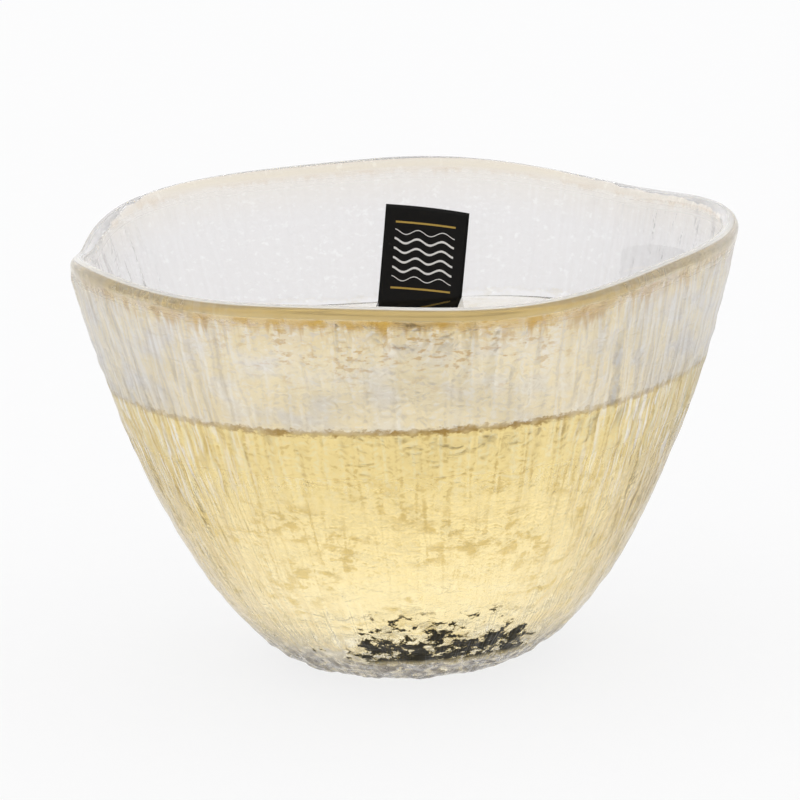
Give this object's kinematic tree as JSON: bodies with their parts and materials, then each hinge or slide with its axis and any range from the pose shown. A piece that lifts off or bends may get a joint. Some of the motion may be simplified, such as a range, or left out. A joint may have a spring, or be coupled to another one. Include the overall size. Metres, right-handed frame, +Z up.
{
  "type": "hammered glass tea cup",
  "caption": "Hand-formed clear glass tea cup with a hammered outside and a wavy rim, holding pale amber tea, with a small dark film label inside its back wall.",
  "frame": {"origin": "middle of the flat foot, on the surface that the cup stands on", "axes": "+Z up along the cup's axis, +Y towards the wall that carries the label, +X to the right when the label faces the viewer"},
  "size_m": [0.0849, 0.0848, 0.0569],
  "materials": {
    "clear_glass": "clear glass, hammered and glossy outside, smooth inside",
    "amber_tea": "clear pale amber liquid",
    "black_film": "black printed film, satin"
  },
  "bodies": {
    "root": {"glass_cup": "clear_glass", "tea": "amber_tea", "label": "black_film"}
  },
  "joints": []
}
